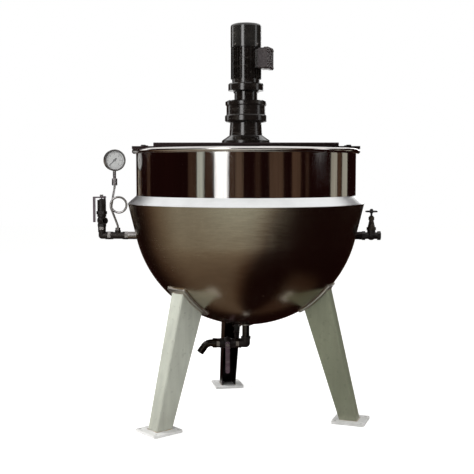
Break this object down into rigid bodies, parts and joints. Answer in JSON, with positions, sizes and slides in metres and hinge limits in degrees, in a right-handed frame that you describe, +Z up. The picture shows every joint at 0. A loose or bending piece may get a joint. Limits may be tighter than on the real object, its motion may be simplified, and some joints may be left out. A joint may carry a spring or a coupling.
{
  "type": "steam jacketed kettle",
  "caption": "Hemispherical steam jacketed cooking kettle on three folded legs, with a bridge-mounted gearmotor, wiping anchor agitator, steam valve, gauge and bottom outlet.",
  "frame": {"origin": "floor point under the vessel's vertical axis", "axes": "+Z up along the vessel's and agitator's axis; the operator stands at -Y; the steam valve is on +X and the gauge and safety valve are on -X"},
  "size_m": [1.332, 1.1188, 1.7945],
  "materials": {
    "kettle": "polished stainless, dark mirror",
    "rim": "polished stainless",
    "jacket": "brushed stainless, warm and dark",
    "collar": "bright satin stainless",
    "leg": "satin stainless sheet",
    "pad": "satin stainless sheet",
    "bridge": "dark stainless sheet",
    "bolt": "plain stainless",
    "drive": "gloss dark paint on cast iron",
    "fan_cover": "gloss dark paint on sheet",
    "box": "satin dark paint",
    "gland": "satin",
    "bearing": "ground steel",
    "shaft": "turned steel",
    "fan": "moulded",
    "agitator": "satin stainless",
    "wiper": "white fluoroplastic",
    "fitting": "dark malleable iron",
    "nipple": "plated steel",
    "valve_dark": "dark painted casting",
    "bonnet": "dull brass",
    "spring": "spring steel",
    "handle": "gloss dark paint",
    "tube": "bright tube",
    "gauge": "polished case",
    "dial": "white printed dial",
    "pointer": "black",
    "glass": "clear flat glass",
    "spout": "stainless pipe"
  },
  "bodies": {
    "stand": {"inner_kettle": "kettle", "rim_ring": "rim", "jacket_shell": "jacket", "jacket_collar": "collar", "leg_left": "leg", "leg_right": "leg", "leg_rear": "leg", "leg_pads": "pad", "foot_plates": "leg", "bridge_beam": "bridge", "bridge_end_plates": "bridge", "bridge_lugs": "bridge", "output_housing": "drive", "pin_gear_ring": "drive", "input_housing": "drive", "frame_bolts": "bolt", "motor_flange_shield": "drive", "motor_frame": "drive", "motor_rear_shield": "drive", "fan_cover": "fan_cover", "terminal_box": "box", "terminal_box_lid": "box", "cable_gland": "gland", "drive_bearings": "bearing", "weld_sockets": "nipple", "pipe_nipples": "nipple", "gauge_tee": "fitting", "service_elbow": "fitting", "safety_valve_body": "valve_dark", "safety_valve_bonnet": "valve_dark", "syphon_tube": "tube", "gauge_case": "gauge", "gauge_dial": "dial", "gauge_glass": "glass", "steam_valve_body": "valve_dark", "steam_valve_bonnet": "bonnet", "outlet_tube": "spout", "outlet_elbow": "fitting", "discharge_valve_body": "valve_dark", "outlet_spout": "spout", "drain_cock_body": "valve_dark"},
    "agitator": {"output_shaft": "shaft", "shaft_coupling": "agitator", "agitator_shaft": "agitator", "anchor_frame": "agitator", "cross_arms": "agitator", "wiper_blades": "wiper", "wiper_bolts": "bolt"},
    "rotor": {"motor_rotor": "shaft", "cooling_fan": "fan"},
    "steam_disc": {"steam_valve_disc": "nipple"},
    "steam_wheel": {"steam_spindle": "nipple", "steam_handwheel": "valve_dark"},
    "discharge_turning": {"discharge_ball": "nipple", "discharge_lever": "handle"},
    "drain_turning": {"drain_cock_plug": "bonnet"},
    "relief_lever": {"safety_valve_lever": "handle"},
    "relief_spindle": {"safety_valve_spindle": "nipple", "safety_valve_spring": "spring"},
    "needle": {"gauge_pointer": "pointer"}
  },
  "joints": [
    {"name": "agitator_turn", "type": "hinge", "parent": "stand", "child": "agitator", "pos_m": [0, 0, 0.9], "axis": [0, 0, -1], "continuous": true},
    {"name": "motor_turn", "type": "hinge", "parent": "stand", "child": "rotor", "pos_m": [0, 0, 1.544], "axis": [0, 0, -1], "continuous": true},
    {"name": "steam_disc_lift", "type": "slide", "parent": "stand", "child": "steam_disc", "axis": [0, 0, 1], "range_m": [0, 0.009]},
    {"name": "steam_handwheel_turn", "type": "hinge", "parent": "steam_disc", "child": "steam_wheel", "pos_m": [0.581, 0, 0.942], "axis": [0, 0, 1], "range_deg": [0, 1080]},
    {"name": "discharge_lever_turn", "type": "hinge", "parent": "stand", "child": "discharge_turning", "pos_m": [-0.084, 0, 0.325], "axis": [0, 1, 0], "range_deg": [0, 90]},
    {"name": "drain_cock_turn", "type": "hinge", "parent": "stand", "child": "drain_turning", "pos_m": [-0.045, 0.112, 0.38129], "axis": [0, 1, 0], "range_deg": [0, 90]},
    {"name": "safety_lever_lift", "type": "hinge", "parent": "stand", "child": "relief_lever", "pos_m": [-0.655, 0, 1.007], "axis": [0, 1, 0], "range_deg": [0, 20], "stiffness_Nm_per_rad": 2},
    {"name": "safety_spindle_lift", "type": "slide", "parent": "stand", "child": "relief_spindle", "axis": [0, 0, 1], "range_m": [0, 0.0083], "deforming": ["safety_valve_spring"]},
    {"name": "gauge_needle_turn", "type": "hinge", "parent": "stand", "child": "needle", "pos_m": [-0.61, 0.013, 1.178], "axis": [-0.3746, 0.9272, 0], "range_deg": [0, 270], "stiffness_Nm_per_rad": 0.0005}
  ],
  "couplings": [
    {"joint": "motor_turn", "follows": "agitator_turn", "ratio": -35},
    {"joint": "steam_handwheel_turn", "follows": "steam_disc_lift", "rad_per_m": 2094.4},
    {"joint": "safety_spindle_lift", "follows": "safety_lever_lift", "m_per_rad": 0.0235}
  ]
}
